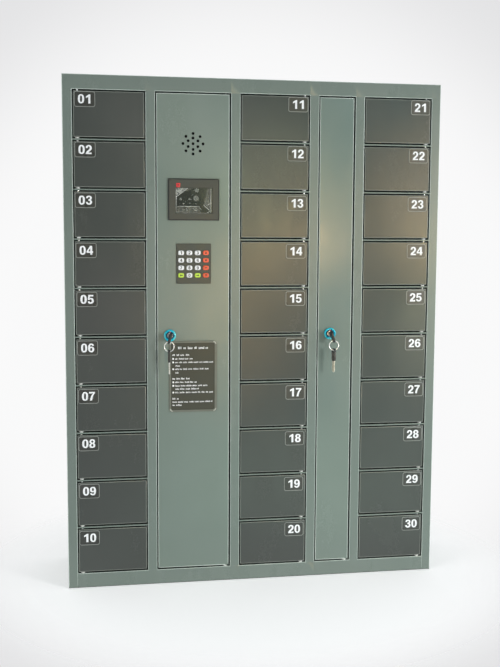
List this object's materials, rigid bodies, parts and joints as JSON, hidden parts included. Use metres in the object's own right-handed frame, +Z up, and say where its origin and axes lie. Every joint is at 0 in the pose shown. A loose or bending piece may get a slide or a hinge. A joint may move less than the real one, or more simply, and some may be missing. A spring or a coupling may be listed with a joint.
{
  "type": "cell phone locker box",
  "caption": "Free-standing steel phone locker with numbered electronic compartments, a keypad and display door and a narrow service door.",
  "frame": {"origin": "centre of the case's footprint on the floor", "axes": "+Z up, +X to the right seen from the front, the doors face -Y"},
  "size_m": [0.767, 0.2294, 1.026],
  "materials": {
    "sage_paint": "satin textured powder coat, sage green",
    "charcoal_paint": "satin textured powder coat, charcoal",
    "latch_steel": "zinc plated",
    "controller_plastic": "circuit board, metal box and rubber gland",
    "bezel_plastic": "fine textured dark grey",
    "keypad_metal": "satin dark grey",
    "key_white": "smooth white key caps with dark digits",
    "key_red": "smooth red-orange key caps",
    "key_yellow": "smooth yellow-green key caps",
    "lock_chrome": "polished plug, zinc plated cam, black key head",
    "ring_steel": "nickel plated ring, spare key with black head"
  },
  "bodies": {
    "cabinet": {"cabinet_shell": "sage_paint", "back_panel": "sage_paint", "column_dividers": "sage_paint", "shelves": "sage_paint", "door_latches": "latch_steel", "lock_controller": "controller_plastic"},
    "control_door": {"control_door": "sage_paint", "display_unit": "bezel_plastic", "keypad_panel": "keypad_metal"},
    "control_lock_plug": {"control_lock_plug": "lock_chrome"},
    "control_key_ring": {"control_key_ring": "ring_steel"},
    "service_door": {"service_door": "sage_paint"},
    "service_lock_plug": {"service_lock_plug": "lock_chrome"},
    "service_key_ring": {"service_key_ring": "ring_steel"},
    "key_1": {"key_1": "key_white"},
    "key_2": {"key_2": "key_white"},
    "key_3": {"key_3": "key_white"},
    "key_red_1": {"key_red_1": "key_red"},
    "key_4": {"key_4": "key_white"},
    "key_5": {"key_5": "key_white"},
    "key_6": {"key_6": "key_white"},
    "key_red_2": {"key_red_2": "key_red"},
    "key_7": {"key_7": "key_white"},
    "key_8": {"key_8": "key_white"},
    "key_9": {"key_9": "key_white"},
    "key_red_3": {"key_red_3": "key_red"},
    "key_yellow_left": {"key_yellow_left": "key_yellow"},
    "key_0": {"key_0": "key_white"},
    "key_yellow_right": {"key_yellow_right": "key_yellow"},
    "key_red_4": {"key_red_4": "key_red"},
    "door_01": {"door_01": "charcoal_paint"},
    "door_02": {"door_02": "charcoal_paint"},
    "door_03": {"door_03": "charcoal_paint"},
    "door_04": {"door_04": "charcoal_paint"},
    "door_05": {"door_05": "charcoal_paint"},
    "door_06": {"door_06": "charcoal_paint"},
    "door_07": {"door_07": "charcoal_paint"},
    "door_08": {"door_08": "charcoal_paint"},
    "door_09": {"door_09": "charcoal_paint"},
    "door_10": {"door_10": "charcoal_paint"},
    "door_11": {"door_11": "charcoal_paint"},
    "door_12": {"door_12": "charcoal_paint"},
    "door_13": {"door_13": "charcoal_paint"},
    "door_14": {"door_14": "charcoal_paint"},
    "door_15": {"door_15": "charcoal_paint"},
    "door_16": {"door_16": "charcoal_paint"},
    "door_17": {"door_17": "charcoal_paint"},
    "door_18": {"door_18": "charcoal_paint"},
    "door_19": {"door_19": "charcoal_paint"},
    "door_20": {"door_20": "charcoal_paint"},
    "door_21": {"door_21": "charcoal_paint"},
    "door_22": {"door_22": "charcoal_paint"},
    "door_23": {"door_23": "charcoal_paint"},
    "door_24": {"door_24": "charcoal_paint"},
    "door_25": {"door_25": "charcoal_paint"},
    "door_26": {"door_26": "charcoal_paint"},
    "door_27": {"door_27": "charcoal_paint"},
    "door_28": {"door_28": "charcoal_paint"},
    "door_29": {"door_29": "charcoal_paint"},
    "door_30": {"door_30": "charcoal_paint"}
  },
  "joints": [
    {"name": "door_01_hinge", "type": "hinge", "parent": "cabinet", "child": "door_01", "pos_m": [-0.3545, -0.0955, 0.95], "axis": [0, 0, -1], "range_deg": [0, 110]},
    {"name": "door_02_hinge", "type": "hinge", "parent": "cabinet", "child": "door_02", "pos_m": [-0.3545, -0.0955, 0.853], "axis": [0, 0, -1], "range_deg": [0, 110]},
    {"name": "door_03_hinge", "type": "hinge", "parent": "cabinet", "child": "door_03", "pos_m": [-0.3545, -0.0955, 0.756], "axis": [0, 0, -1], "range_deg": [0, 110]},
    {"name": "door_04_hinge", "type": "hinge", "parent": "cabinet", "child": "door_04", "pos_m": [-0.3545, -0.0955, 0.659], "axis": [0, 0, -1], "range_deg": [0, 110]},
    {"name": "door_05_hinge", "type": "hinge", "parent": "cabinet", "child": "door_05", "pos_m": [-0.3545, -0.0955, 0.562], "axis": [0, 0, -1], "range_deg": [0, 110]},
    {"name": "door_06_hinge", "type": "hinge", "parent": "cabinet", "child": "door_06", "pos_m": [-0.3545, -0.0955, 0.465], "axis": [0, 0, -1], "range_deg": [0, 110]},
    {"name": "door_07_hinge", "type": "hinge", "parent": "cabinet", "child": "door_07", "pos_m": [-0.3545, -0.0955, 0.368], "axis": [0, 0, -1], "range_deg": [0, 110]},
    {"name": "door_08_hinge", "type": "hinge", "parent": "cabinet", "child": "door_08", "pos_m": [-0.3545, -0.0955, 0.271], "axis": [0, 0, -1], "range_deg": [0, 110]},
    {"name": "door_09_hinge", "type": "hinge", "parent": "cabinet", "child": "door_09", "pos_m": [-0.3545, -0.0955, 0.174], "axis": [0, 0, -1], "range_deg": [0, 110]},
    {"name": "door_10_hinge", "type": "hinge", "parent": "cabinet", "child": "door_10", "pos_m": [-0.3545, -0.0955, 0.077], "axis": [0, 0, -1], "range_deg": [0, 110]},
    {"name": "door_11_hinge", "type": "hinge", "parent": "cabinet", "child": "door_11", "pos_m": [0.0985, -0.0955, 0.95], "axis": [0, 0, 1], "range_deg": [0, 110]},
    {"name": "door_12_hinge", "type": "hinge", "parent": "cabinet", "child": "door_12", "pos_m": [0.0985, -0.0955, 0.853], "axis": [0, 0, 1], "range_deg": [0, 110]},
    {"name": "door_13_hinge", "type": "hinge", "parent": "cabinet", "child": "door_13", "pos_m": [0.0985, -0.0955, 0.756], "axis": [0, 0, 1], "range_deg": [0, 110]},
    {"name": "door_14_hinge", "type": "hinge", "parent": "cabinet", "child": "door_14", "pos_m": [0.0985, -0.0955, 0.659], "axis": [0, 0, 1], "range_deg": [0, 110]},
    {"name": "door_15_hinge", "type": "hinge", "parent": "cabinet", "child": "door_15", "pos_m": [0.0985, -0.0955, 0.562], "axis": [0, 0, 1], "range_deg": [0, 110]},
    {"name": "door_16_hinge", "type": "hinge", "parent": "cabinet", "child": "door_16", "pos_m": [0.0985, -0.0955, 0.465], "axis": [0, 0, 1], "range_deg": [0, 110]},
    {"name": "door_17_hinge", "type": "hinge", "parent": "cabinet", "child": "door_17", "pos_m": [0.0985, -0.0955, 0.368], "axis": [0, 0, 1], "range_deg": [0, 110]},
    {"name": "door_18_hinge", "type": "hinge", "parent": "cabinet", "child": "door_18", "pos_m": [0.0985, -0.0955, 0.271], "axis": [0, 0, 1], "range_deg": [0, 110]},
    {"name": "door_19_hinge", "type": "hinge", "parent": "cabinet", "child": "door_19", "pos_m": [0.0985, -0.0955, 0.174], "axis": [0, 0, 1], "range_deg": [0, 110]},
    {"name": "door_20_hinge", "type": "hinge", "parent": "cabinet", "child": "door_20", "pos_m": [0.0985, -0.0955, 0.077], "axis": [0, 0, 1], "range_deg": [0, 110]},
    {"name": "door_21_hinge", "type": "hinge", "parent": "cabinet", "child": "door_21", "pos_m": [0.3545, -0.0955, 0.95], "axis": [0, 0, 1], "range_deg": [0, 110]},
    {"name": "door_22_hinge", "type": "hinge", "parent": "cabinet", "child": "door_22", "pos_m": [0.3545, -0.0955, 0.853], "axis": [0, 0, 1], "range_deg": [0, 110]},
    {"name": "door_23_hinge", "type": "hinge", "parent": "cabinet", "child": "door_23", "pos_m": [0.3545, -0.0955, 0.756], "axis": [0, 0, 1], "range_deg": [0, 110]},
    {"name": "door_24_hinge", "type": "hinge", "parent": "cabinet", "child": "door_24", "pos_m": [0.3545, -0.0955, 0.659], "axis": [0, 0, 1], "range_deg": [0, 110]},
    {"name": "door_25_hinge", "type": "hinge", "parent": "cabinet", "child": "door_25", "pos_m": [0.3545, -0.0955, 0.562], "axis": [0, 0, 1], "range_deg": [0, 110]},
    {"name": "door_26_hinge", "type": "hinge", "parent": "cabinet", "child": "door_26", "pos_m": [0.3545, -0.0955, 0.465], "axis": [0, 0, 1], "range_deg": [0, 110]},
    {"name": "door_27_hinge", "type": "hinge", "parent": "cabinet", "child": "door_27", "pos_m": [0.3545, -0.0955, 0.368], "axis": [0, 0, 1], "range_deg": [0, 110]},
    {"name": "door_28_hinge", "type": "hinge", "parent": "cabinet", "child": "door_28", "pos_m": [0.3545, -0.0955, 0.271], "axis": [0, 0, 1], "range_deg": [0, 110]},
    {"name": "door_29_hinge", "type": "hinge", "parent": "cabinet", "child": "door_29", "pos_m": [0.3545, -0.0955, 0.174], "axis": [0, 0, 1], "range_deg": [0, 110]},
    {"name": "door_30_hinge", "type": "hinge", "parent": "cabinet", "child": "door_30", "pos_m": [0.3545, -0.0955, 0.077], "axis": [0, 0, 1], "range_deg": [0, 110]},
    {"name": "control_door_hinge", "type": "hinge", "parent": "cabinet", "child": "control_door", "pos_m": [-0.0625, -0.0955, 0.5135], "axis": [0, 0, 1], "range_deg": [0, 110]},
    {"name": "service_door_hinge", "type": "hinge", "parent": "cabinet", "child": "service_door", "pos_m": [0.1935, -0.0955, 0.5135], "axis": [0, 0, 1], "range_deg": [0, 110]},
    {"name": "control_lock_turn", "type": "hinge", "parent": "control_door", "child": "control_lock_plug", "pos_m": [-0.176, -0.0995, 0.515], "axis": [0, 1, 0], "range_deg": [0, 71]},
    {"name": "control_ring_swing", "type": "hinge", "parent": "control_lock_plug", "child": "control_key_ring", "pos_m": [-0.1794, -0.123, 0.50476], "axis": [1, 0, 0], "range_deg": [-80, 14]},
    {"name": "service_lock_turn", "type": "hinge", "parent": "service_door", "child": "service_lock_plug", "pos_m": [0.155, -0.0995, 0.515], "axis": [0, 1, 0], "range_deg": [0, 105]},
    {"name": "service_ring_swing", "type": "hinge", "parent": "service_lock_plug", "child": "service_key_ring", "pos_m": [0.15842, -0.123, 0.50257], "axis": [1, 0, 0], "range_deg": [-80, 14]},
    {"name": "key_1_press", "type": "slide", "parent": "control_door", "child": "key_1", "axis": [0, 1, 0], "range_m": [0, 0.001], "stiffness_N_per_m": 1200},
    {"name": "key_2_press", "type": "slide", "parent": "control_door", "child": "key_2", "axis": [0, 1, 0], "range_m": [0, 0.001], "stiffness_N_per_m": 1200},
    {"name": "key_3_press", "type": "slide", "parent": "control_door", "child": "key_3", "axis": [0, 1, 0], "range_m": [0, 0.001], "stiffness_N_per_m": 1200},
    {"name": "key_red_1_press", "type": "slide", "parent": "control_door", "child": "key_red_1", "axis": [0, 1, 0], "range_m": [0, 0.001], "stiffness_N_per_m": 1200},
    {"name": "key_4_press", "type": "slide", "parent": "control_door", "child": "key_4", "axis": [0, 1, 0], "range_m": [0, 0.001], "stiffness_N_per_m": 1200},
    {"name": "key_5_press", "type": "slide", "parent": "control_door", "child": "key_5", "axis": [0, 1, 0], "range_m": [0, 0.001], "stiffness_N_per_m": 1200},
    {"name": "key_6_press", "type": "slide", "parent": "control_door", "child": "key_6", "axis": [0, 1, 0], "range_m": [0, 0.001], "stiffness_N_per_m": 1200},
    {"name": "key_red_2_press", "type": "slide", "parent": "control_door", "child": "key_red_2", "axis": [0, 1, 0], "range_m": [0, 0.001], "stiffness_N_per_m": 1200},
    {"name": "key_7_press", "type": "slide", "parent": "control_door", "child": "key_7", "axis": [0, 1, 0], "range_m": [0, 0.001], "stiffness_N_per_m": 1200},
    {"name": "key_8_press", "type": "slide", "parent": "control_door", "child": "key_8", "axis": [0, 1, 0], "range_m": [0, 0.001], "stiffness_N_per_m": 1200},
    {"name": "key_9_press", "type": "slide", "parent": "control_door", "child": "key_9", "axis": [0, 1, 0], "range_m": [0, 0.001], "stiffness_N_per_m": 1200},
    {"name": "key_red_3_press", "type": "slide", "parent": "control_door", "child": "key_red_3", "axis": [0, 1, 0], "range_m": [0, 0.001], "stiffness_N_per_m": 1200},
    {"name": "key_yellow_left_press", "type": "slide", "parent": "control_door", "child": "key_yellow_left", "axis": [0, 1, 0], "range_m": [0, 0.001], "stiffness_N_per_m": 1200},
    {"name": "key_0_press", "type": "slide", "parent": "control_door", "child": "key_0", "axis": [0, 1, 0], "range_m": [0, 0.001], "stiffness_N_per_m": 1200},
    {"name": "key_yellow_right_press", "type": "slide", "parent": "control_door", "child": "key_yellow_right", "axis": [0, 1, 0], "range_m": [0, 0.001], "stiffness_N_per_m": 1200},
    {"name": "key_red_4_press", "type": "slide", "parent": "control_door", "child": "key_red_4", "axis": [0, 1, 0], "range_m": [0, 0.001], "stiffness_N_per_m": 1200}
  ]
}
